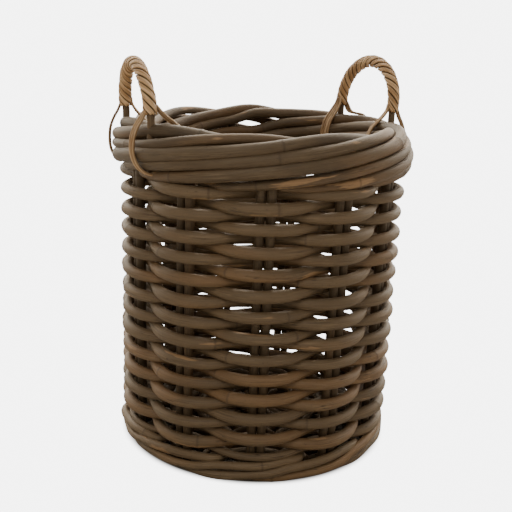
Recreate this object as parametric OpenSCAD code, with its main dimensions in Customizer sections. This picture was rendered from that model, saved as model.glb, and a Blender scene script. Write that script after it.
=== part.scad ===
// Round log basket of thick rattan rods: 11 pairs of upright stakes, a plain over-one
// under-one wall, a rolled rope-like border, a rolled foot, a woven base and two
// wrapped loop handles. Z is up and the origin is at the centre of the underside.

/* [Body] */
// Height of the top of the border above the floor
rim_h = 507; // [470:1:560]
// Radius of the ring of stakes at the floor
stake_ring_foot = 196.5; // [185:0.5:205]
// Radius of the ring of stakes at the border
stake_ring_top = 202; // [190:0.5:203]
// Number of stake pairs, odd so that one rod alternates by itself
pairs = 11; // [11:2:11]
// Angle of the first stake pair from the X axis
stake_start = 15; // [0:1:32]

/* [Stakes] */
// Diameter of one upright stake
stake_d = 13; // [11:0.5:13]
// Gap between the two stakes of a pair
stake_gap = 1; // [0.5:0.1:2]

/* [Wall weave] */
// Diameter of a wall weaving rod
weaver_d = 15.2; // [13:0.1:15.2]
// Height of one row
row_pitch = 15.45; // [15.3:0.05:15.6]
// Number of rows
rows = 24; // [15:1:24]
// Height of the middle of the first row where it starts
first_row_z = 44; // [44:0.1:50]
// Rows that one rod makes before the next rod takes over
turns_per_rod = 2; // [1:1:2]
// Share of a turn over which the wall tapers off below its first and above its last row
taper_turn = 0.7; // [0.5:0.05:0.75]

/* [Border] */
// Diameter of a border rod
border_d = 17; // [15:0.5:17]
// Radius of the middle of the rolled border
border_ring = 202; // [201:0.5:204]
// Half width of the roll, measured to the middle of its rods
border_half_w = 20.5; // [20:0.5:23]
// Half height of the roll, measured to the middle of its rods
border_half_h = 31.5; // [30:0.5:31.5]
// Turn of a border rod round the roll between one stake pair and the next
border_twist = 40; // [36:1:44]

/* [Foot] */
// Diameter of a foot rod
foot_d = 12.2; // [11:0.1:12.2]
// Radius of the middle of the rolled foot
foot_ring = 200.5; // [199:0.5:202]
// Half width of the roll, measured to the middle of its rods
foot_half_w = 12; // [11.5:0.5:13]
// Half height of the roll, measured to the middle of its rods
foot_half_h = 12; // [11:0.5:12]
// Turn of a foot rod round the roll between one stake pair and the next
foot_twist = 66; // [64:1:72]
// Fullness of the corners of the foot roll, 1 for an oval and less for a squarer roll
foot_corner = 0.65; // [0.5:0.05:1]
// Depth planed off the underside so that the basket stands flat
foot_flat = 0.8; // [0.4:0.1:1.5]

/* [Base] */
// Height of the middle of the base
base_z = 19.5; // [19:0.5:20]
// Diameter of a base stick
base_stick_d = 10; // [8:0.5:10]
// Diameter of a base weaving rod
base_weaver_d = 12; // [10:0.5:12]
// Radius where the base weave starts
base_weave_in = 55.5; // [55:0.5:60]
// Step of the base weave from one turn to the next
base_weave_pitch = 12.2; // [12.1:0.05:12.3]
// Turns of the base weave
base_weave_turns = 10; // [6:1:10]

/* [Handles] */
// Angle of the middle of the higher handle
handle_turn_a = 4.9; // [4:0.1:6]
// Angle of the middle of the lower handle
handle_turn_b = 176.3; // [172:0.1:180]
// Half of the angle that a handle spans on the border
handle_half_span = 18.3; // [16:0.1:19]
// Radius where the handle legs enter the border
handle_ring = 211; // [209:0.5:212]
// Height of the higher handle above the border, with its wrapping
handle_rise_a = 100; // [90:1:110]
// Height of the lower handle above the border, with its wrapping
handle_rise_b = 90; // [85:1:110]
// Outward lean of the handles
handle_lean = 5; // [0:0.5:8]
// Diameter of the bare handle core
core_d = 11; // [9:0.5:11]
// Diameter of the handle over its wrapping
wrap_d = 20; // [17:0.5:21]
// Width of a lashing band along the border
lash_w = 12; // [8:0.5:12]
// Thickness of a lashing band
lash_t = 3.2; // [2.5:0.1:3.2]

/* [Hidden] */
step = 360 / pairs;
weavers = 1 + ceil(rows / turns_per_rod);
border_z = rim_h - border_half_h - border_d / 2;
foot_z = foot_half_h + foot_d / 2 - foot_flat;
border_from = -93;
border_to = 225;
foot_top = foot_z + foot_half_h + foot_d / 2 + 0.4;
border_low = border_z - border_half_h - border_d / 2 - 0.4;
foot_from = -130;
foot_to = 80;
base_weavers = 3;
handle_half_chord = handle_ring * sin(handle_half_span);
handle_out = handle_ring * cos(handle_half_span);
leg_bend_z = rim_h + 6;
leg_foot_z = border_z - border_half_h + 4;
wrap_end_z = rim_h + 12;
rod_sides = 6;
turn_steps = pairs * 3;

function numbered(name, i) = str(name, "_", i < 10 ? "0" : "", i);
function unit(v) = v / norm(v);
function polar(r, a, z) = [r * cos(a), r * sin(a), z];
function stake_radius(z) = stake_ring_foot + (stake_ring_top - stake_ring_foot) * z / border_z;

// An ellipse parameter that gives nearly even steps along the outline.
function even_turn(u, w, h) = u - 28.65 * (h - w) / (h + w) * sin(2 * u);
// A sine or cosine pushed out toward its ends, which makes the corners of a roll fuller.
function fuller(c, corner) = sign(c) * pow(abs(c), corner);
// A point on a roll: u is the turn round the roll, 0 outside and 90 on top.
function on_roll(ring, z, w, h, a, u, corner = 1) =
    let (t = even_turn(u, w, h))
    polar(ring + w * fuller(cos(t), corner), a, z + h * fuller(sin(t), corner));

// Side of the stakes that a woven rod is on at stake pair n: 1 at even pairs, -1 at odd
// pairs, with a straight crossing between them.
function side_at(n) = max(-1, min(1, 3 * (abs(n - 2 * floor(n / 2) - 1) - 0.5)));
// Thickness and height of the wall rod after so many turns. Below the first row and above
// the last one it fills only the wedge that is left to the level foot and border.
function wall_rod_d(turn) =
    let (below = first_row_z + row_pitch * (turn + 1) - foot_top)
    let (above = border_low - first_row_z - row_pitch * (turn - 1))
    min(weaver_d, min(below, above) - weaver_d / 2 - 0.2);
function wall_rod_z(turn) =
    let (r = wall_rod_d(turn) / 2)
    max(foot_top + r, min(first_row_z + row_pitch * turn, border_low - r));
function wall_point(turn) =
    let (z = wall_rod_z(turn))
    let (out = ((wall_rod_d(turn) + stake_d) / 2 + 0.4) * side_at(turn * pairs))
    polar(stake_radius(z) + out, stake_start + 360 * turn, z);
function border_point(i, u) =
    on_roll(border_ring, border_z, border_half_w, border_half_h,
        stake_start + step * (i + 0.2 + (u - border_from) / border_twist), u);
function foot_point(i, u) =
    on_roll(foot_ring, foot_z, foot_half_w, foot_half_h,
        stake_start + step * (i + 0.5 + (u - foot_to) / foot_twist), u, foot_corner);
// Middle of the base rod, a spiral that goes over one base stick and under the next.
function base_point(a) =
    let (r = base_weave_in + base_weave_pitch * a / 360)
    let (lift = (base_weaver_d + base_stick_d) / 2 + 0.3)
    polar(r, stake_start + a, base_z + lift * side_at(a / step));

// A round rod along a list of points, as one closed surface. With a list of diameters it
// is as thick as that list says at each point.
module rod(points, d, sides = rod_sides, diameters = []) {
    n = len(points);
    rings = [
        for (i = [0:n - 1])
            let (t = unit(points[min(i + 1, n - 1)] - points[max(i - 1, 0)]))
            let (side = unit(cross(t, [0, 0, 1])))
            let (up = cross(side, t))
            for (k = [0:sides - 1])
                let (q = 360 * k / sides + 90)
                let (r = (len(diameters) > 0 ? diameters[i] : d) / 2)
                points[i] + r * (cos(q) * side + sin(q) * up)
    ];
    walls = [
        for (i = [0:n - 2], k = [0:sides - 1])
            let (m = (k + 1) % sides)
            each [
                [i * sides + k, i * sides + m, (i + 1) * sides + m],
                [i * sides + k, (i + 1) * sides + m, (i + 1) * sides + k]
            ]
    ];
    caps = [
        [for (k = [sides - 1:-1:0]) k],
        [for (k = [0:sides - 1]) (n - 1) * sides + k]
    ];
    polyhedron(rings, concat(walls, caps), convexity = 8);
}

// A straight round stick between two points.
module stick(from, to, d) {
    v = to - from;
    translate(from)
        rotate([0, acos(v.z / norm(v)), atan2(v.y, v.x)])
            cylinder(h = norm(v), d = d, $fn = 32);
}

module stake_pair(i) {
    a = stake_start + step * i;
    side = [-sin(a), cos(a), 0] * (stake_d + stake_gap) / 2;
    low = foot_z - foot_half_h + foot_d / 2 + 2;
    high = rim_h - border_d - 4;
    color("#4a3a2a")
        for (s = [-1, 1])
            stick(polar(stake_radius(low), a, low) + s * side,
                polar(stake_radius(high), a, high) + s * side, stake_d);
}

// Wall rod i. The first is only the tapered start below the first row, the last tapers off
// above the last row and each of the others makes its full turns.
module wall_weaver(i) {
    from = i == 0 ? -round(taper_turn * turn_steps) : (i - 1) * turns_per_rod * turn_steps;
    full = min(rows, i * turns_per_rod) * turn_steps;
    to = i == weavers - 1 ? full + round(taper_turn * turn_steps) : full;
    turns = [for (n = [from:to - 1]) (n + 0.5) / turn_steps];
    color("#5a4a3a")
        rod([for (t = turns) wall_point(t)], weaver_d, diameters = [for (t = turns) wall_rod_d(t)]);
}

module border_rod(i) {
    steps = 27;
    color("#5f4f3f")
        rod([for (n = [0:steps])
            border_point(i, border_from + (border_to - border_from) * n / steps)], border_d);
}

module foot_rod(i) {
    steps = 15;
    color("#54422f")
        intersection() {
            rod([for (n = [0:steps])
                foot_point(i, foot_from + (foot_to - foot_from) * n / steps)], foot_d);
            translate([-300, -300, 0])
                cube([600, 600, 100]);
        }
}

// One base stick: straight across the middle, then fanned out to its own angle.
module base_stick(offset, fan, z) {
    end_r = stake_radius(base_z) - stake_d / 2 - 1;
    half = [[8, offset, z], [38, offset, z], polar(80, fan, base_z), polar(end_r, fan, base_z)];
    rod(concat([for (k = [3:-1:0]) [-half[k].x, half[k].y, half[k].z]], half), base_stick_d);
}

module base_sticks(count, z, turn) {
    color("#4f3f2d")
        rotate(stake_start + turn)
            for (j = [0:count - 1])
                let (s = j - (count - 1) / 2)
                base_stick(s * (base_stick_d + 0.6), s * step / 2, z);
}

module base_weaver(i) {
    count = round(base_weave_turns * turn_steps / base_weavers);
    color("#5a4a3a")
        rod([for (n = [i * count:(i + 1) * count - 1])
            base_point((n + 0.5) * step / 3)], base_weaver_d, 5);
}

// The loop of a handle at the angle turn: straight legs below and a half round above.
// The ring profile comes from the children.
module handle_arch(rise, low) {
    arch_z = round(10 * (rise - wrap_d / 2 - handle_half_chord * cos(handle_lean))) / 10;
    translate([handle_out, 0, leg_bend_z])
        rotate([0, handle_lean, 0]) {
            translate([0, 0, rim_h + arch_z - leg_bend_z])
                rotate([90, 0, 90])
                    rotate_extrude(angle = 180, $fn = 64)
                        translate([handle_half_chord, 0])
                            children();
            for (s = [-1, 1])
                translate([0, s * handle_half_chord, low - leg_bend_z])
                    linear_extrude(rim_h + arch_z - low)
                        children();
        }
}

module handle_core(turn, rise) {
    color("#5b4631")
        rotate(turn) {
            handle_arch(rise, leg_bend_z)
                circle(d = core_d, $fn = 32);
            for (s = [-1, 1])
                translate([handle_out, s * handle_half_chord, leg_foot_z])
                    cylinder(h = leg_bend_z - leg_foot_z + 2, d = core_d - 0.6, $fn = 32);
        }
}

module handle_wrap(turn, rise) {
    color("#a5876a")
        rotate(turn)
            handle_arch(rise, wrap_end_z)
                difference() {
                    circle(d = wrap_d, $fn = 48);
                    circle(d = core_d + 0.4, $fn = 48);
                }
}

// Outline of a lashing: round the roll, drawn up to a point beside the handle leg.
function lash_outline(grow) = [
    for (k = [0:31])
        let (t = 360 * k / 32)
        let (lift = pow(max(0, sin(t)), 6))
        [border_ring + (border_half_w + border_d / 2 + grow) * cos(t) + 7 * lift,
            border_z + (border_half_h + border_d / 2 + grow) * sin(t) + 10 * lift]
];

module handle_lashing(turn, side) {
    leg = turn + side * handle_half_span;
    color("#8f7458")
        rotate([90, 0, leg])
            translate([0, 0, -lash_w / 2])
                linear_extrude(lash_w)
                    difference() {
                        polygon(lash_outline(0.4 + lash_t));
                        polygon(lash_outline(0.4));
                        translate([handle_ring - core_d / 2 - 0.4, border_z])
                            square([core_d + 0.8, 100]);
                    }
}

for (i = [1:pairs])
    stake_pair(i - 1);
for (i = [1:weavers])
    wall_weaver(i - 1);
for (i = [1:pairs])
    border_rod(i - 1);
for (i = [1:pairs])
    foot_rod(i - 1);
for (i = [1:base_weavers])
    base_weaver(i - 1);
base_sticks(6, base_z - base_stick_d / 2 - 0.2, 0);  // base_sticks_lower
base_sticks(5, base_z + base_stick_d / 2 + 0.2, 90);  // base_sticks_upper
handle_core(handle_turn_a, handle_rise_a);  // handle_core_a
handle_core(handle_turn_b, handle_rise_b);  // handle_core_b
handle_wrap(handle_turn_a, handle_rise_a);  // handle_wrap_a
handle_wrap(handle_turn_b, handle_rise_b);  // handle_wrap_b
handle_lashing(handle_turn_a, -1);  // handle_lashing_a1
handle_lashing(handle_turn_a, 1);  // handle_lashing_a2
handle_lashing(handle_turn_b, -1);  // handle_lashing_b1
handle_lashing(handle_turn_b, 1);  // handle_lashing_b2
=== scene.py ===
import math

import bmesh
import bpy
from bpy.props import FloatProperty, FloatVectorProperty, IntProperty, PointerProperty
from mathutils import Matrix, Vector, noise


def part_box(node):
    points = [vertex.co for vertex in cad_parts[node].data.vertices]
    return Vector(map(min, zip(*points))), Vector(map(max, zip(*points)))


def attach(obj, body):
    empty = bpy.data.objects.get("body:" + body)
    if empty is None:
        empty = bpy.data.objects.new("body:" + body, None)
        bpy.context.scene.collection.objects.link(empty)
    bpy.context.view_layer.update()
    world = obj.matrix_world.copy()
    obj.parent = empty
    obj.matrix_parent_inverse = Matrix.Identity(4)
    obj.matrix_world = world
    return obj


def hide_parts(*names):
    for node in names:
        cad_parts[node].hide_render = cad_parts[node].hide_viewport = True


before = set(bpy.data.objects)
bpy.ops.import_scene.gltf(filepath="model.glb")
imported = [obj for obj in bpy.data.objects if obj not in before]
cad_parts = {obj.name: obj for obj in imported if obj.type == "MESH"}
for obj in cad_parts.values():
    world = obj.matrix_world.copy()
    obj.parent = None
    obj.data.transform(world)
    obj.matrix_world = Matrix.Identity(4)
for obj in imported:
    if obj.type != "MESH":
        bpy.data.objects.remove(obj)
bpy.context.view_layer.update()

bl_info = {
    "name": "Rattan log basket",
    "version": (1, 0, 0),
    "blender": (4, 5, 0),
    "location": "View3D > Sidebar > Basket",
    "description": "Weaves a round log basket of thick rattan rods with two roped handles",
    "category": "Object",
}

BORDER_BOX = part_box("border_rod_01")
FOOT_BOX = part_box("foot_rod_01")
MM = 0.001
PAIRS, WALL_RODS, BASE_RODS = (sum(name.startswith(start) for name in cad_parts)
                               for start in ("stake_pair", "wall_weaver", "base_weaver"))
# Angles round the basket, in degrees from the X axis
STEP = 360 / PAIRS
STAKE_START = 15.0
HALF_SPAN = 18.3
HANDLE_LEAN = 5
# Each handle: its letter, the angle of its middle and its height above the border
HANDLES = (("a", 4.9, 0.100), ("b", 176.3, 0.090))
# Parts of a turn that the first and the last wall rod run past the full rows
WALL_TAPER_FOOT = 0.68
WALL_TAPER_BORDER = 0.85
# The slit that the border rods leave open: its angle, and its level and half height
# across a line that falls by SLIT_SLOPE degrees on the way out
SLIT_TURN = 67.5
SLIT_SLOPE = 15
SLIT_LEVEL = 0.5165
SLIT_HALF = 0.0068
# Brightness of the backdrop, and the side that the camera looks from
BACKDROP = 6.0
TOWARD_CAMERA = -117.7


def length(name, description, default):
    return FloatProperty(name=name, description=description, default=default, unit="LENGTH")


def colour(name, description, default):
    return FloatVectorProperty(
        name=name, description=description, default=default, subtype="COLOR", size=3, min=0, max=1
    )


class BasketSizes(bpy.types.PropertyGroup):
    stake_foot: length("Stake ring, foot", "Radius of the ring of stakes at the floor", 0.1965)
    stake_top: length("Stake ring, top", "Radius of the ring of stakes at the border", 0.202)
    stake_d: length("Stake", "Diameter of one upright stake", 0.0140)
    stake_gap: length("Stake gap", "Gap between the two stakes of a pair", 0.0003)
    wall_d: length("Wall rod", "Mean diameter of a wall weaving rod", 0.0171)
    row_pitch: length("Row pitch", "Height of one row of the wall", 0.01545)
    first_row: length("First row", "Height of the middle of the first row", 0.044)
    border_d: length("Border rod", "Diameter of a border rod", 0.0173)
    border_ring: length("Border ring", "Radius of the middle of the rolled border", 0.202)
    border_half_w: length("Border half width", "Half width of the roll of the border", 0.0205)
    border_half_h: length("Border half height", "Half height of the roll of the border", 0.0315)
    foot_d: length("Foot rod", "Diameter of a foot rod", 0.0134)
    foot_ring: length("Foot ring", "Radius of the middle of the rolled foot", 0.2005)
    foot_half_w: length("Foot half width", "Half width of the roll of the foot", 0.012)
    foot_half_h: length("Foot half height", "Half height of the roll of the foot", 0.0117)
    base_z: length("Base height", "Height of the middle of the woven base", 0.0195)
    base_stick_d: length("Base stick", "Diameter of a base stick", 0.010)
    base_rod_d: length("Base rod", "Diameter of a base weaving rod", 0.012)
    base_start: length("Base start", "Radius where the base weave starts", 0.0555)
    base_pitch: length("Base pitch", "Step of the base weave from turn to turn", 0.0122)
    handle_ring: length("Handle ring", "Radius where the handle legs enter the border", 0.211)
    core_d: length("Handle core", "Diameter of the bare handle core", 0.011)
    wrap_d: length("Handle", "Diameter of the handle over its strands", 0.020)
    strand_w: length("Strand width", "Width of one cane strand", 0.0046)
    strand_t: length("Strand thickness", "Thickness of one cane strand", 0.0038)
    lay: length("Lay", "Length of handle in which a strand goes round once", 0.062)
    strands: IntProperty(
        name="Strands", description="Cane strands wound round a handle", default=10, min=4, max=20
    )


class BasketColours(bpy.types.PropertyGroup):
    grey: colour("Grey rattan", "Weathered rattan of most rods", (0.138, 0.094, 0.050))
    brown: colour("Brown rattan", "Warm brown stretches of the rods", (0.185, 0.110, 0.051))
    pale: colour("Pale rattan", "Bleached streaks on the rods", (0.30, 0.218, 0.130))
    # Besides stains, cracks and joints, the dark colour paints shade along the sides of the cane
    # strands
    dark: colour("Dark rattan", "Stained hollows, cracks and joints", (0.034, 0.021, 0.011))
    peeled: colour("Peeled rattan", "Bare patches where the skin has come off", (0.36, 0.22, 0.11))
    cane: colour("Cane", "Strands on the handles", (0.50, 0.290, 0.130))
    cane_pale: colour("Pale cane", "Worn edges of the strands", (0.95, 0.66, 0.38))
    floor: colour("Floor", "Floor and backdrop", (1.0, 1.0, 1.0))


def numbered(name, i):
    return f"{name}_{i:02d}"


def polar(radius, degrees, height):
    angle = math.radians(degrees)
    return Vector((radius * math.cos(angle), radius * math.sin(angle), height))


def wander(t, seed):
    """A smooth number between about -1 and 1 that drifts as t goes on, a way that its seed
    picks."""
    return 1.6 * noise.noise(Vector((t, 7.31 * seed + 0.37, 2.17 * seed)))


def bump_at(distance, width):
    """A smooth bump: 1 at no distance, and nearly 0 two widths away."""
    return math.exp(-((distance / width) ** 2))


# ---------------------------------------------------------------- rods and strands


def lengths_along(points):
    """The length of a polyline up to each of its points."""
    total = [0.0]
    for a, b in zip(points, points[1:]):
        total.append(total[-1] + (b - a).length)
    return total


def points_at(points, lengths, wanted):
    """The points at the wanted lengths along a fine polyline."""
    found, i = [], 0
    for s in wanted:
        while i < len(lengths) - 2 and lengths[i + 1] < s:
            i += 1
        span = max(lengths[i + 1] - lengths[i], 1e-9)
        found.append(points[i].lerp(points[i + 1], (s - lengths[i]) / span))
    return found


def smooth_through(points, steps):
    """A smooth line through the points, with steps between one and the next."""
    line = []
    last = len(points) - 1
    for i in range(last):
        before, a, b, after = (points[max(0, min(last, j))] for j in (i - 1, i, i + 1, i + 2))
        for k in range(steps):
            t = k / steps
            bend = 2 * before - 5 * a + 4 * b - after
            twist = 3 * a - before - 3 * b + after
            line.append(0.5 * (2 * a + (b - before) * t + bend * t * t + twist * t ** 3))
    return line + [points[-1]]


def carried_frames(points, up):
    """Across and up vectors for each point, turned as little as the path allows."""
    frames = []
    for i in range(len(points)):
        along = (points[min(i + 1, len(points) - 1)] - points[max(i - 1, 0)]).normalized()
        up = (up - along * up.dot(along)).normalized()
        frames.append((along.cross(up), up))
    return frames


def add_tube(bm, sections, sides, grain_start, tone):
    """Rolls a grid round the sections (centre, across, up, half width, half height, length,
    joint) and closes it at the ends."""
    grain = bm.verts.layers.float_vector["grain"]
    tones = bm.verts.layers.float["tone"]
    joints = bm.verts.layers.float["joint"]
    last = len(sections) - 1
    made = bmesh.ops.create_grid(bm, x_segments=last, y_segments=sides, size=0.5)["verts"]
    turns = [(math.cos(2 * math.pi * k / sides), math.sin(2 * math.pi * k / sides))
             for k in range(sides)]
    seam = []
    for v in made:
        i = round((v.co.x + 0.5) * last)
        j = round((v.co.y + 0.5) * sides)
        centre, across, up, half_w, half_h, s, joint = sections[i]
        c, d = turns[j % sides]
        if j in (0, sides):
            seam.append(v)
        v.co = centre + across * (half_w * c) + up * (half_h * d)
        v[grain] = (grain_start + s, half_w * c, half_h * d)
        v[tones] = tone
        v[joints] = joint
    bmesh.ops.remove_doubles(bm, verts=seam, dist=1e-6)
    ends = [e for v in made if v.is_valid for e in v.link_edges if e.is_boundary]
    bmesh.ops.holes_fill(bm, edges=list(set(ends)), sides=0)


def start_mesh():
    """An empty mesh with the values that the materials read."""
    bm = bmesh.new()
    bm.verts.layers.float_vector.new("grain")
    bm.verts.layers.float.new("tone")
    bm.verts.layers.float.new("joint")
    return bm


def add_rod(bm, points, diameter, seed, sides=14, spacing=0.009, slim_ends=(1.0, 1.0),
            up=Vector((0, 0, 1)), unevenness=0.10, pressed=lambda point: 1.0, shares=(1.0,)):
    """One rattan rod: uneven along its length, with a ring where each joint of the cane was.
    Slim_ends are the thickness left at the first and the last end, pressed gives the share of
    its height that it keeps at a point, and shares its thickness at even steps from end to
    end."""
    lengths = lengths_along(points)
    total = lengths[-1]
    rings = []
    slim_part = 0.12
    s = 0.05 + 0.1 * abs(wander(seed * 3.7, 91))
    while s < total:
        rings.append(s)
        s += 0.25 + 0.2 * abs(wander(s * 5.0, seed + 0.5))
    wanted = {0.0, 0.0015, total - 0.0015, total}
    steps = max(2, round(total / spacing))
    wanted |= {k * total / steps for k in range(1, steps)}
    for ring in rings:
        wanted |= {ring + offset * MM for offset in (-5, -2.4, -1, 0, 1, 2.4, 5)}
    wanted = sorted(w for w in wanted if 0 <= w <= total)
    wanted = [w for i, w in enumerate(wanted) if i == 0 or w - wanted[i - 1] > 0.0005]
    centres = points_at(points, lengths, wanted)
    sections = []
    for s, centre, (across, upward) in zip(wanted, centres, carried_frames(centres, up)):
        joint = max((bump_at(s - ring, 1.6 * MM) for ring in rings), default=0)
        swell = max((bump_at(s - ring, 5.5 * MM) for ring in rings), default=0)
        half = diameter / 2 * (
            1 + unevenness * wander(s * 4.0, seed) + 0.5 * unevenness * wander(s * 17.0, seed + 31)
        )
        half *= 1 + 0.045 * swell + 0.03 * joint
        share = s / total
        half *= shares[round(share * (len(shares) - 1))]
        half *= slim_ends[0] + (1 - slim_ends[0]) * min(1, share / slim_part)
        half *= slim_ends[1] + (1 - slim_ends[1]) * min(1, (1 - share) / slim_part)
        if s < 0.001 or s > total - 0.001:
            half *= 0.86
        oval = 0.05 * wander(s * 6.0, seed + 57)
        sections.append((centre, across, upward, half * (1 + oval),
                         half * (1 - oval) * pressed(centre), s, joint))
    add_tube(bm, sections, sides, grain_start=seed * 3.17, tone=wander(seed * 5.3, 17))


def add_strand(bm, points, ups, width, thickness, seed, sides=8):
    """One flat cane strand along the points, lying on a surface with the given normals."""
    lengths = lengths_along(points)
    sections = []
    last = len(points) - 1
    for i, (centre, up, s) in enumerate(zip(points, ups, lengths)):
        along = (points[min(i + 1, last)] - points[max(i - 1, 0)]).normalized()
        up = (up - along * up.dot(along)).normalized()
        size = 0.7 if i in (0, last) else 1 + 0.06 * wander(s * 25, seed)
        sections.append((centre, along.cross(up), up, width / 2 * size, thickness / 2 * size, s, 0))
    add_tube(bm, sections, sides, grain_start=seed * 1.37, tone=wander(seed * 2.9, 5))


def finish_piece(bm, name, material, slot, *nodes):
    """Makes the mesh an object with its material, which takes the place of the nodes."""
    bmesh.ops.recalc_face_normals(bm, faces=bm.faces)
    for face in bm.faces:
        face.smooth = len(face.verts) < 5
    mesh = bpy.data.meshes.new(name)
    bm.to_mesh(mesh)
    bm.free()
    piece = bpy.data.objects.new(name, mesh)
    bpy.context.collection.objects.link(piece)
    mesh.materials.append(material)
    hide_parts(*nodes)
    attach(piece, "root")
    return piece


# ---------------------------------------------------------------- routes of the pieces


def border_z():
    """Height of the middle of the rolled border."""
    return (BORDER_BOX[0].z + BORDER_BOX[1].z) / 2


def stake_radius(sizes, z):
    """Radius of the ring of stakes at a height."""
    return sizes.stake_foot + (sizes.stake_top - sizes.stake_foot) * z / border_z()


def even_turn(u, half_w, half_h):
    """Turn round an oval, in degrees, that gives nearly even steps along it."""
    half_radian = 28.65
    return u - half_radian * (half_h - half_w) / (half_h + half_w) * math.sin(math.radians(2 * u))


def flatter(wave, share):
    """A wave between -1 and 1 with its crests flattened by a share."""
    return wave * (1 + share - share * wave * wave)


def wall_rod_room(sizes, turn):
    """Thickness left for the wall rod between the level foot and border, and the height
    it then runs at."""
    into_border = 5 * MM
    low = FOOT_BOX[1].z
    high = BORDER_BOX[0].z + into_border
    level = sizes.first_row + sizes.row_pitch * turn
    room = min(level + sizes.row_pitch - low, high - level + sizes.row_pitch)
    thick = min(sizes.row_pitch, room - sizes.row_pitch / 2)
    return thick, max(low + thick / 2, min(level, high - thick / 2))


def wall_route(sizes, first, last):
    """Middle and thickness of the wall rod between two turns, outside one stake pair and
    inside the next."""
    route, shares = [], []
    count = round((last - first) * PAIRS * 24)
    for k in range(count + 1):
        turn = first + (last - first) * k / count
        thick, z = wall_rod_room(sizes, turn)
        share = thick / sizes.row_pitch
        wave = (sizes.wall_d * share + sizes.stake_d) / 2
        pair = turn * PAIRS
        swing = flatter(math.cos(math.pi * pair), 0.16)
        z += 1.4 * MM * share * wander(pair * 0.9, 3)
        radius = stake_radius(sizes, z) + wave * swing + 1.2 * MM * wander(pair * 1.1, 8)
        route.append(polar(radius, STAKE_START + 360 * turn, z))
        shares.append(share)
    return route, shares


def fuller(value, corner):
    """A sine or cosine pushed toward its ends, which fills the corners of a roll."""
    return math.copysign(abs(value) ** corner, value)


def roll_route(ring, z, half_w, half_h, i, start, stop, twist, lead, seed, corner=1.0, loose=1.0):
    """Middle of rod i of a rolled edge, which turns from start to stop round the roll while it
    goes on by one stake pair for each twist, all in degrees. Its lead is in stake pairs."""
    route = []
    count = 160
    # Degrees that it gets ahead by, as it hurries over the top and lingers at the sides
    hurry = 5 + 6 * wander(seed * 1.9, 12) + 10 * wander(seed * 0.4, 77)
    lead += loose * 0.09 * wander(seed * 3.3, 27)
    for k in range(count + 1):
        u = start + (stop - start) * k / count
        turn = u + loose * hurry * math.sin(math.radians(2 * u - 180))
        t = math.radians(even_turn(turn, half_w, half_h))
        out = half_w + loose * 3.4 * MM * wander(k * 0.05, seed)
        rise = half_h + loose * 3.0 * MM * wander(k * 0.045, seed + 40)
        degrees = STAKE_START + STEP * (i + lead + (u - start) / twist)
        route.append(polar(ring + out * fuller(math.cos(t), corner), degrees,
                           z + rise * fuller(math.sin(t), corner)))
    return route


def parted(point):
    """A point of a border rod, moved up or down where the rods leave a slit of light."""
    azimuth = math.degrees(math.atan2(point.y, point.x))
    slope = math.radians(SLIT_SLOPE)
    above = math.sin(slope) * point.xy.length + math.cos(slope) * point.z - SLIT_LEVEL
    push = SLIT_HALF * bump_at(azimuth - SLIT_TURN, 11) * bump_at(above, 30 * MM)
    return point + Vector((0, 0, push * math.tanh(above / (4 * MM))))


def handle_route(sizes, rise, spacing=0.004):
    """Middle of a handle before it is turned to its side: up one leg, over and down."""
    half_span = math.radians(HALF_SPAN)
    chord = sizes.handle_ring * math.sin(half_span)
    out = sizes.handle_ring * math.cos(half_span)
    rim = BORDER_BOX[1].z
    bend = rim + 6 * MM
    foot = border_z() - sizes.border_half_h + 4 * MM
    top = rim + rise - sizes.wrap_d / 2
    arch = top - chord * math.cos(math.radians(HANDLE_LEAN))
    lean = Matrix.Rotation(math.radians(HANDLE_LEAN), 4, "Y")
    count = round((bend - foot) / spacing)
    left = [Vector((0, -chord, foot - bend + (bend - foot) * k / count)) for k in range(count)]
    count = round((arch - bend) / spacing)
    left += [lean @ Vector((0, -chord, (arch - bend) * k / count)) for k in range(count)]
    count = round(math.pi * chord / spacing)
    over = [lean @ Vector((0, -chord * math.cos(math.pi * k / count),
                           arch - bend + chord * math.sin(math.pi * k / count)))
            for k in range(count + 1)]
    right = [Vector((p.x, -p.y, p.z)) for p in reversed(left)]
    return [p + Vector((out, 0, bend)) for p in left + over + right]


# Ways that the strands of a lashing take from the handle: radius and height in mm
LASH_OUTSIDE = ((218, 533), (220, 523), (224, 513), (230, 502), (235, 488), (236.5, 471),
                (235, 457), (230, 446), (221, 439), (209, 437))
LASH_INSIDE = ((204, 533), (202, 523), (196, 514), (187, 505), (177, 494), (171, 479),
               (169.5, 462), (172, 446), (178, 434), (187, 427))
LASH_CREST = ((218, 533), (217, 523), (214, 514), (212, 510), (211, 509), (211, 508.5),
              (212, 508), (212, 506), (211, 501), (209, 494))
LASH_ALONG = ((204, 533), (201, 524), (196, 516), (191, 510), (188, 505), (186, 501),
              (185, 497), (186, 493), (188, 489), (191, 485))
# For each leg: way, number of strands, and how many degrees they drift midway and at the end
LASHINGS = {
    "a1": ((LASH_OUTSIDE, 3, (0, 1)), (LASH_INSIDE, 3, (0, -2))),
    "a2": ((LASH_CREST, 3, (0, -17)), (LASH_INSIDE, 4, (0, 2))),
    "b1": ((LASH_OUTSIDE, 3, (-1, 1)), (LASH_INSIDE, 3, (0, 6))),
    "b2": ((LASH_OUTSIDE, 3, (-4, 3)), (LASH_ALONG, 3, (0, 20))),
}


def lash_route(way, degrees, drifts, spread, seed):
    """Middle of one strand of a lashing, which leaves the leg of the handle at an angle. It
    keeps its spread from the middle strand, and drifts off by some degrees on the way."""
    route = []
    for n, (r, z) in enumerate(way):
        share = n / (len(way) - 1)
        drift = drifts[0] * math.sin(math.pi * share) + drifts[1] * share
        opened = min(1, 0.45 + 0.3 * n)
        aside = spread * opened + 0.9 * MM * wander(n * 0.6, seed)
        route.append(polar(r * MM, degrees + drift + math.degrees(aside / (r * MM)), z * MM))
    return smooth_through(route, 8)


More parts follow.
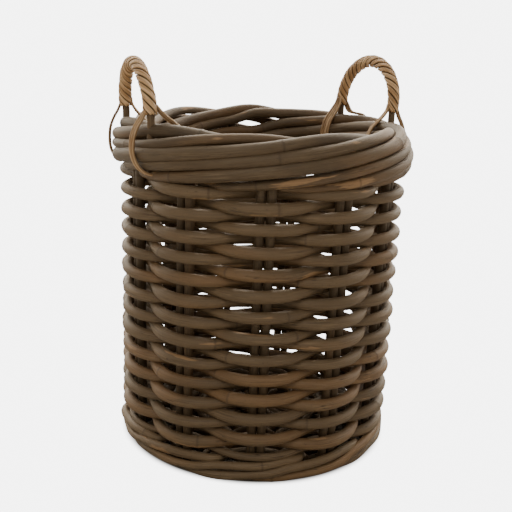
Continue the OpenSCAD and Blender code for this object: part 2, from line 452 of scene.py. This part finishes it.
def away_from_roll(sizes, point):
    """The way from the middle of the rolled border to a point beside it."""
    degrees = math.degrees(math.atan2(point.y, point.x))
    return (point - polar(sizes.border_ring, degrees, border_z())).normalized()


# ---------------------------------------------------------------- shader arithmetic


class Shade:
    """A shader socket that takes part in Python expressions."""

    def __init__(self, tree, socket=None):
        self.tree, self.socket = tree, socket

    def add(self, kind, settings=(), sockets=(), out=0):
        """A new node of a kind, with its settings made first and its sockets after them."""
        node = self.tree.nodes.new(kind)
        for key, value in dict(settings).items():
            setattr(node, key, value)
        for key, value in dict(sockets).items():
            if isinstance(value, Shade):
                self.tree.links.new(value.socket, node.inputs[key])
            else:
                node.inputs[key].default_value = value
        return Shade(self.tree, node.outputs[out] if node.outputs else None)

    def math(self, operation, a, b=0.0):
        return self.add("ShaderNodeMath", {"operation": operation}, {0: a, 1: b})

    def __add__(self, other):
        return self.math("ADD", self, other)

    __radd__ = __add__

    def __sub__(self, other):
        return self.math("SUBTRACT", self, other)

    def __rsub__(self, other):
        return self.math("SUBTRACT", other, self)

    def __mul__(self, other):
        return self.math("MULTIPLY", self, other)

    __rmul__ = __mul__

    def __abs__(self):
        return self.math("ABSOLUTE", self)

    def stretched(self, *scale):
        """This vector times a scale on each axis."""
        return self.add("ShaderNodeVectorMath", {"operation": "MULTIPLY"}, {0: self, 1: scale})

    def noise(self, detail=3.0, roughness=0.55):
        """A number between 0 and 1 that drifts once for each unit of this vector."""
        return self.add("ShaderNodeTexNoise", {"noise_dimensions": "3D"},
                        {"Vector": self, "Scale": 1.0, "Detail": detail, "Roughness": roughness})

    def between(self, low, high):
        """0 below low, 1 above high and a smooth step from one to the other."""
        return self.add("ShaderNodeMapRange", {"interpolation_type": "SMOOTHSTEP"},
                        {"Value": self, "From Min": low, "From Max": high})

    def mixed(self, a, b):
        """Colour a where this is 0 and colour b where it is 1."""
        a, b = ((*c, 1) if isinstance(c, tuple) else c for c in (a, b))
        return self.add("ShaderNodeMix", {"data_type": "RGBA"}, {0: self, 6: a, 7: b}, out=2)


def new_material(name):
    material = bpy.data.materials.new(name)
    material.use_nodes = True
    material.node_tree.nodes.clear()
    return material, Shade(material.node_tree)


def put_on(shade, colour_value, roughness, height, distance):
    """Joins colour, roughness and height to a Principled surface."""
    bump = shade.add("ShaderNodeBump", {}, {"Strength": 1.0, "Distance": distance,
                                            "Height": height})
    surface = shade.add("ShaderNodeBsdfPrincipled", {}, {
        "Base Color": colour_value, "Roughness": roughness, "Normal": bump})
    shade.add("ShaderNodeOutputMaterial", {}, {"Surface": surface})


def rattan(name, colours, brightness=1.0, warmth=0.5, wear=0.5, stain=0.2):
    """Weathered rattan pole: long streaks, drifting colour, fine cracks and dark joint rings.
    Patterns lie along the grain: the first number of a stretch runs along the rod, the others
    across it, in repeats per metre."""
    material, s = new_material(name)
    grain = s.add("ShaderNodeAttribute", {"attribute_name": "grain"}, out=1)
    tone = s.add("ShaderNodeAttribute", {"attribute_name": "tone"}, out=2)
    joint = s.add("ShaderNodeAttribute", {"attribute_name": "joint"}, out=2)
    drift = grain.stretched(5.0, 18.0, 18.0).noise(2.0)
    patches = grain.stretched(16.0, 70.0, 70.0).noise(3.0)
    streaks = grain.stretched(22.0, 850.0, 850.0).noise(4.0, 0.6)
    fibres = grain.stretched(60.0, 2600.0, 2600.0).noise(2.0, 0.6)
    specks = grain.stretched(420.0, 420.0, 420.0).noise(2.0)
    lines = grain.stretched(5.0, 210.0, 210.0).noise(1.0)
    crack = (1 - (abs(lines - 0.5)).between(0.0, 0.012)) * patches.between(0.5, 0.62)

    tint = tuple(c * brightness for c in colours.grey)
    brown = tuple(c * brightness for c in colours.brown)
    pale = tuple(c * brightness for c in colours.pale)
    browned = (drift + 0.26 * tone).between(0.62 - 0.2 * warmth, 0.78 - 0.1 * warmth)
    base = browned.mixed(tint, brown)
    worn = ((streaks - 0.5) * 1.1 + (patches - 0.46) * 1.5 * wear).between(0.0, 0.75)
    base = worn.mixed(base, pale)
    stained = grain.stretched(6.0, 22.0, 22.0).noise(3.0, 0.6)
    base = (stained.between(0.5, 0.66) * stain).mixed(base, tuple(colours.dark))
    peeled = grain.stretched(9.0, 60.0, 60.0).noise(4.0, 0.5)
    base = (peeled.between(0.66, 0.7) * 0.8).mixed(base, tuple(colours.peeled))
    base = (specks.between(0.62, 0.8) * 0.5).mixed(base, tuple(colours.dark))
    base = ((1 - streaks).between(0.5, 0.72) * 0.45).mixed(base, tuple(colours.dark))
    base = (crack * 0.8).mixed(base, tuple(colours.dark))
    base = (joint * 0.45).mixed(base, tuple(colours.dark))
    height = 0.55 * streaks + 0.25 * fibres - 0.8 * crack + 0.3 * patches
    put_on(s, base, 0.46 + 0.3 * streaks, height, 0.0006)
    return material


def cane(name, colours, brightness=1.0):
    """Split cane strand: honey brown with pale worn edges and fine fibres, with painted shade
    along both sides where one strand meets the next.
    """
    material, s = new_material(name)
    grain = s.add("ShaderNodeAttribute", {"attribute_name": "grain"}, out=1)
    tone = s.add("ShaderNodeAttribute", {"attribute_name": "tone"}, out=2)
    drift = grain.stretched(14.0, 90.0, 90.0).noise(2.0)
    streaks = grain.stretched(40.0, 1500.0, 1500.0).noise(3.0, 0.6)
    specks = grain.stretched(600.0, 600.0, 600.0).noise(2.0)
    honey = tuple(c * brightness for c in colours.cane)
    worn = tuple(c * brightness for c in colours.cane_pale)
    base = (drift + 0.12 * tone).between(0.35, 0.7).mixed(honey, worn)
    base = ((1 - streaks).between(0.45, 0.7) * 0.5).mixed(base, tuple(colours.brown))
    base = (specks.between(0.64, 0.8) * 0.4).mixed(base, tuple(colours.dark))
    # Painted shade: both sides of each strand are darkened, standing in for the shade in the gaps
    # between strands
    side = s.add("ShaderNodeSeparateXYZ", {}, {"Vector": grain}, out=1)
    base = (abs(side).between(0.0013, 0.0023) * 0.75).mixed(base, tuple(colours.dark))
    put_on(s, base, 0.38 + 0.25 * streaks, streaks, 0.0004)
    return material


def plain_floor(name, colours):
    """Floor that looks as bright as the backdrop outside the foot of the basket, is plain matt
    inside it as a painted shadow under the basket, and sends back a little soft light."""
    material, s = new_material(name)
    matt = s.add("ShaderNodeBsdfDiffuse", {}, {"Color": (0.45, 0.43, 0.40, 1)})
    glow = s.add("ShaderNodeEmission", {}, {"Color": (*colours.floor, 1), "Strength": BACKDROP})
    seen = s.add("ShaderNodeLightPath")
    place = s.add("ShaderNodeTexCoord", out=3)
    reach = s.add("ShaderNodeVectorMath", {"operation": "LENGTH"}, {0: place}, out=1)
    # Painted shadow: inside these radii the camera sees darker matt floor instead of the glow,
    # standing in for the shadow under the basket
    painted_shadow_radii = (0.206, 0.222)
    # The mix is glow only outside the painted shadow, and only for camera rays
    clear = seen * reach.between(*painted_shadow_radii)
    both = s.add("ShaderNodeMixShader", {}, {0: clear, 1: matt, 2: glow})
    s.add("ShaderNodeOutputMaterial", {}, {"Surface": both})
    return material


# ---------------------------------------------------------------- operators


class BASKET_OT_stakes(bpy.types.Operator):
    """Stand the pairs of upright stakes"""

    bl_idname = "basket.stakes"
    bl_label = "Stakes"

    def execute(self, context):
        sizes, colours = context.scene.basket_sizes, context.scene.basket_colours
        material = rattan("rattan_stakes", colours, brightness=0.8, warmth=0.4, wear=0.4)
        for i in range(PAIRS):
            node = numbered("stake_pair", i + 1)
            low, high = (corner.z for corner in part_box(node))
            degrees = STAKE_START + STEP * i
            side = polar((sizes.stake_d + sizes.stake_gap) / 2, degrees + 90, 0)
            bm = start_mesh()
            for hand in (-1, 1):
                seed = 300 + 2 * i + (hand > 0)
                points = []
                for k in range(61):
                    z = low + (high - low) * k / 60
                    sway = 0.7 * MM * wander(z * 9, seed + 4)
                    points.append(polar(stake_radius(sizes, z), degrees, z)
                                  + side * hand * (1 + 0.06 * wander(z * 7, seed)) + side * sway)
                add_rod(bm, points, sizes.stake_d * (0.94 if hand < 0 else 1.02), seed,
                        up=polar(1, degrees, 0), spacing=0.012, unevenness=0.05)
            finish_piece(bm, node, material, "stakes", node)
        return {"FINISHED"}


class BASKET_OT_wall(bpy.types.Operator):
    """Weave the wall rods in and out of the stakes"""

    bl_idname = "basket.wall"
    bl_label = "Wall"

    def execute(self, context):
        sizes, colours = context.scene.basket_sizes, context.scene.basket_colours
        material = rattan("rattan_wall", colours, brightness=1.02)
        full = 2 * (WALL_RODS - 1)
        for i in range(WALL_RODS):
            node = numbered("wall_weaver", i + 1)
            bm = start_mesh()
            start = -WALL_TAPER_FOOT if i == 0 else 2 * i - 2
            stop = full + WALL_TAPER_BORDER if i == WALL_RODS - 1 else 2 * i
            route, shares = wall_route(sizes, start, stop)
            wave = (sizes.wall_d + sizes.stake_d) / 2

            def pressed(point):
                swing = abs(point.xy.length - stake_radius(sizes, point.z)) / wave
                return 0.92 + 0.1 * min(1, swing)

            add_rod(bm, route, sizes.wall_d, 100 + i, unevenness=0.10, pressed=pressed,
                    shares=shares)
            finish_piece(bm, node, material, "wall", node)
        return {"FINISHED"}


class BASKET_OT_border(bpy.types.Operator):
    """Roll the border rods over the rim"""

    bl_idname = "basket.border"
    bl_label = "Border"

    def execute(self, context):
        sizes, colours = context.scene.basket_sizes, context.scene.basket_colours
        material = rattan("rattan_border", colours, brightness=0.77, warmth=0.6, wear=0.6,
                          stain=0.42)
        for i in range(PAIRS):
            node = numbered("border_rod", i + 1)
            bm = start_mesh()
            route = roll_route(sizes.border_ring, border_z(), sizes.border_half_w,
                               sizes.border_half_h, i, start=-93, stop=225, twist=40,
                               lead=0.2, seed=200 + i)
            thickness = sizes.border_d * (1 + 0.16 * wander(i * 2.3, 61))
            route = [parted(point) for point in route]
            add_rod(bm, route, thickness, 200 + i, sides=16, slim_ends=(0.75, 0.7),
                    unevenness=0.13)
            finish_piece(bm, node, material, "border", node)
        return {"FINISHED"}


class BASKET_OT_foot(bpy.types.Operator):
    """Roll the foot rods under the base"""

    bl_idname = "basket.foot"
    bl_label = "Foot"

    def execute(self, context):
        sizes, colours = context.scene.basket_sizes, context.scene.basket_colours
        material = rattan("rattan_foot", colours, brightness=1.2)
        z = FOOT_BOX[0].z + sizes.foot_half_h + sizes.foot_d / 2 + 0.5 * MM
        lowest = FOOT_BOX[0].z + 0.54 * sizes.foot_d
        start, stop, twist = -130, 80, 66
        # How far the end of a rod is tucked in and down, and how many degrees it goes on
        tuck_in, tuck_down, tuck_on = 17 * MM, 1.5 * MM, 3.4
        for i in range(PAIRS):
            node = numbered("foot_rod", i + 1)
            bm = start_mesh()
            route = roll_route(sizes.foot_ring, z, sizes.foot_half_w, sizes.foot_half_h,
                               i, start, stop, twist, lead=0.5 - (stop - start) / twist,
                               seed=230 + i, corner=0.65, loose=0.7)
            route = [Vector((p.x, p.y, max(p.z, lowest))) for p in route]
            last = route[-1]
            degrees = math.degrees(math.atan2(last.y, last.x))
            for k in range(1, 9):
                share = k / 8
                route.append(polar(last.xy.length - tuck_in * share ** 1.4,
                                   degrees + tuck_on * share, last.z - tuck_down * share))
            add_rod(bm, route, sizes.foot_d, 230 + i, slim_ends=(0.8, 0.75), unevenness=0.1)
            finish_piece(bm, node, material, "foot", node)
        return {"FINISHED"}


class BASKET_OT_base(bpy.types.Operator):
    """Lay the base sticks and weave the base"""

    bl_idname = "basket.base"
    bl_label = "Base"

    def execute(self, context):
        sizes, colours = context.scene.basket_sizes, context.scene.basket_colours
        material = rattan("rattan_base", colours, brightness=0.9, warmth=0.4, wear=0.4)
        stick = sizes.base_stick_d
        # Radii where the sticks of the cross part, where they are fanned out, and where they end
        cross, fan = 38 * MM, 80 * MM
        end = stake_radius(sizes, sizes.base_z) - sizes.stake_d / 2 - 1 * MM
        for name, count, layer, turn in (("base_sticks_lower", 6, -1, 0),
                                         ("base_sticks_upper", 5, 1, 90)):
            bm = start_mesh()
            for j in range(count):
                s = j - (count - 1) / 2
                z = sizes.base_z + layer * (stick / 2 + 0.2 * MM)
                aside = s * (stick + 0.6 * MM)
                half = [Vector((0, aside, z)),
                        Vector((cross, aside, z)),
                        polar(fan, s * STEP / 2, sizes.base_z),
                        polar(end, s * STEP / 2, sizes.base_z)]
                whole = [Vector((-p.x, p.y, p.z)) for p in reversed(half[1:])] + half
                spin = Matrix.Rotation(math.radians(STAKE_START + turn), 4, "Z")
                points = smooth_through([spin @ p for p in whole], 12)
                add_rod(bm, points, stick, 400 + j + turn, sides=12, unevenness=0.05)
            finish_piece(bm, name, material, "base", name)
        lift = (sizes.base_rod_d + stick) / 2 + 0.3 * MM
        weave_turns = 10
        turns = weave_turns / BASE_RODS
        count = round(turns * PAIRS * 16)
        for i in range(BASE_RODS):
            node = numbered("base_weaver", i + 1)
            route = []
            for k in range(count + 1):
                angle = 360 * turns * (i + k / count)
                wave = flatter(math.cos(math.pi * angle / STEP), 0.2)
                radius = sizes.base_start + sizes.base_pitch * angle / 360
                route.append(polar(radius, STAKE_START + angle, sizes.base_z + lift * wave))
            bm = start_mesh()
            add_rod(bm, route, sizes.base_rod_d, 430 + i, sides=12, unevenness=0.06)
            finish_piece(bm, node, material, "base", node)
        return {"FINISHED"}


class BASKET_OT_handle_cores(bpy.types.Operator):
    """Bend the two handle cores into the border"""

    bl_idname = "basket.handle_cores"
    bl_label = "Handle cores"

    def execute(self, context):
        sizes, colours = context.scene.basket_sizes, context.scene.basket_colours
        material = rattan("rattan_core", colours, brightness=0.9, warmth=0.8, wear=0.4)
        for k, (key, degrees, rise) in enumerate(HANDLES):
            spin = Matrix.Rotation(math.radians(degrees), 4, "Z")
            node = "handle_core_" + key
            bm = start_mesh()
            points = [spin @ p for p in handle_route(sizes, rise)]
            add_rod(bm, points, sizes.core_d, 500 + k, sides=14, spacing=0.005, unevenness=0.04,
                    up=polar(1, degrees, 0))
            finish_piece(bm, node, material, "handle_core", node)
        return {"FINISHED"}


class BASKET_OT_handle_wraps(bpy.types.Operator):
    """Wind the cane strands round the handles"""

    bl_idname = "basket.handle_wraps"
    bl_label = "Handle wraps"

    def execute(self, context):
        sizes, colours = context.scene.basket_sizes, context.scene.basket_colours
        material = cane("cane_wrap", colours, brightness=0.9)
        rim = BORDER_BOX[1].z
        for number, (key, degrees, rise) in enumerate(HANDLES):
            spin = Matrix.Rotation(math.radians(degrees), 4, "Z")
            node = "handle_wrap_" + key
            middle = [p for p in handle_route(sizes, rise, 0.0025) if p.z > rim + 12 * MM]
            lengths = lengths_along(middle)
            frames = carried_frames(middle, Vector((1, 0, 0)))
            bm = start_mesh()
            radius = sizes.wrap_d / 2 - sizes.strand_t / 2
            for j in range(sizes.strands):
                points, ups = [], []
                for p, s, (across, up) in zip(middle, lengths, frames):
                    stray = 0.05 * wander(s * 14, 900 + 13 * number + j)
                    start = (j + 0.3 * (j % 2)) / sizes.strands
                    turn = 2 * math.pi * (start + s / sizes.lay) + stray
                    normal = across * math.cos(turn) + up * math.sin(turn)
                    lift = 0.45 * MM * wander(s * 20, 950 + 13 * number + j)
                    points.append(spin @ (p + normal * (radius + lift)))
                    ups.append(spin.to_3x3() @ normal)
                add_strand(bm, points, ups, sizes.strand_w, sizes.strand_t, 600 + 20 * number + j)
            finish_piece(bm, node, material, "handle_wrap", node)
        return {"FINISHED"}


class BASKET_OT_lashings(bpy.types.Operator):
    """Lash each handle leg to the border"""

    bl_idname = "basket.lashings"
    bl_label = "Lashings"

    def execute(self, context):
        sizes, colours = context.scene.basket_sizes, context.scene.basket_colours
        material = cane("cane_lashing", colours, brightness=0.62)
        strand_pitch = 4.1 * MM
        for number, (key, degrees, _) in enumerate(HANDLES):
            for leg, hand in (("1", -1), ("2", 1)):
                node = f"handle_lashing_{key}{leg}"
                bm = start_mesh()
                for side, (way, count, drifts) in enumerate(LASHINGS[key + leg]):
                    for j in range(count):
                        spread = (j - (count - 1) / 2) * strand_pitch
                        points = lash_route(way, degrees + hand * HALF_SPAN, drifts, spread,
                                            seed=70 + 9 * number + 3 * side + j)
                        ups = [away_from_roll(sizes, point) for point in points]
                        add_strand(bm, points, ups, sizes.strand_w * 0.85, sizes.strand_t,
                                   700 + 40 * number + 10 * hand + 5 * side + j)
                finish_piece(bm, node, material, "handle_wrap", node)
        return {"FINISHED"}


class BASKET_OT_stage(bpy.types.Operator):
    """Set the floor, the lights and the camera"""

    bl_idname = "basket.stage"
    bl_label = "Stage"

    def execute(self, context):
        colours = context.scene.basket_colours
        floor_radius = 30
        bm = bmesh.new()
        bmesh.ops.create_circle(bm, cap_ends=True, segments=96, radius=floor_radius)
        mesh = bpy.data.meshes.new("floor")
        bm.to_mesh(mesh)
        bm.free()
        floor = bpy.data.objects.new("floor", mesh)
        context.collection.objects.link(floor)
        mesh.materials.append(plain_floor("pale_floor", colours))

        world = bpy.data.worlds.new("studio")
        context.scene.world = world
        world.use_nodes = True
        world.node_tree.nodes.clear()
        s = Shade(world.node_tree)
        behind = -polar(1, TOWARD_CAMERA, 0)
        way = s.add("ShaderNodeTexCoord")
        facing = s.add("ShaderNodeVectorMath", {"operation": "DOT_PRODUCT"},
                       {0: way, 1: tuple(behind)}, out=1)
        strength = 0.33 + 5.4 * facing.between(0.1, 0.85)
        seen = s.add("ShaderNodeLightPath")
        strength = seen * BACKDROP + (1 - seen) * strength
        tint = seen.mixed((1.0, 0.91, 0.77), tuple(colours.floor))
        sky = s.add("ShaderNodeBackground", {}, {"Color": tint, "Strength": strength})
        s.add("ShaderNodeOutputWorld", {}, {"Surface": sky})

        # Name, place in metres, width in metres and power in watts of each soft light
        for name, place, size, power in (("key", (-1.6, -1.5, 2.6), 1.4, 25),
                                         ("edge", (2.0, 0.5, 1.4), 1.0, 8),
                                         ("fill", (1.4, -2.4, 1.3), 1.8, 5),
                                         ("back", (0.9, 1.7, 2.4), 1.8, 30)):
            light = bpy.data.lights.new(name, "AREA")
            light.energy, light.size, light.color = power, size, (1.0, 0.92, 0.82)
            lamp = bpy.data.objects.new(name, light)
            context.collection.objects.link(lamp)
            lamp.location = place
            aim = Vector((0, 0, 0.3)) - lamp.location
            lamp.rotation_euler = aim.to_track_quat("-Z", "Y").to_euler()

        camera = bpy.data.cameras.new("camera")
        eye = bpy.data.objects.new("camera", camera)
        context.collection.objects.link(eye)
        camera.sensor_width = 36
        camera.lens = 57.544
        distance, aside, height = 1.2786, -0.0042, 0.6297
        pitch, roll = math.radians(15.04), math.radians(2.25)
        back = polar(1, TOWARD_CAMERA, 0)
        right = polar(1, TOWARD_CAMERA + 90, 0)
        view = -back * math.cos(pitch) + Vector((0, 0, -math.sin(pitch)))
        lens_up = right.cross(view)
        place = back * distance + right * aside + Vector((0, 0, height))
        axes = Matrix((right, lens_up, -view)).transposed().to_4x4()
        eye.matrix_world = (Matrix.Translation(place) @ axes
                            @ Matrix.Rotation(roll, 4, "Z"))
        context.scene.camera = eye
        return {"FINISHED"}


class BASKET_PT_panel(bpy.types.Panel):
    """Buttons that make the basket"""

    bl_idname = "BASKET_PT_panel"
    bl_label = "Log basket"
    bl_space_type = "VIEW_3D"
    bl_region_type = "UI"
    bl_category = "Basket"

    def draw(self, context):
        for group in (context.scene.basket_sizes, context.scene.basket_colours):
            for key in group.__annotations__:
                self.layout.prop(group, key)
        for operator in OPERATORS:
            self.layout.operator(operator.bl_idname)


OPERATORS = (BASKET_OT_stakes, BASKET_OT_wall, BASKET_OT_border, BASKET_OT_foot, BASKET_OT_base,
             BASKET_OT_handle_cores, BASKET_OT_handle_wraps, BASKET_OT_lashings, BASKET_OT_stage)
CLASSES = (BasketSizes, BasketColours, *OPERATORS, BASKET_PT_panel)


def register():
    for cls in CLASSES:
        bpy.utils.register_class(cls)
    bpy.types.Scene.basket_sizes = PointerProperty(type=BasketSizes)
    bpy.types.Scene.basket_colours = PointerProperty(type=BasketColours)


def unregister():
    del bpy.types.Scene.basket_colours
    del bpy.types.Scene.basket_sizes
    for cls in reversed(CLASSES):
        bpy.utils.unregister_class(cls)


def main():
    register()
    for operator in OPERATORS:
        group, name = operator.bl_idname.split(".")
        getattr(getattr(bpy.ops, group), name)()


if __name__ == "__main__":
    main()
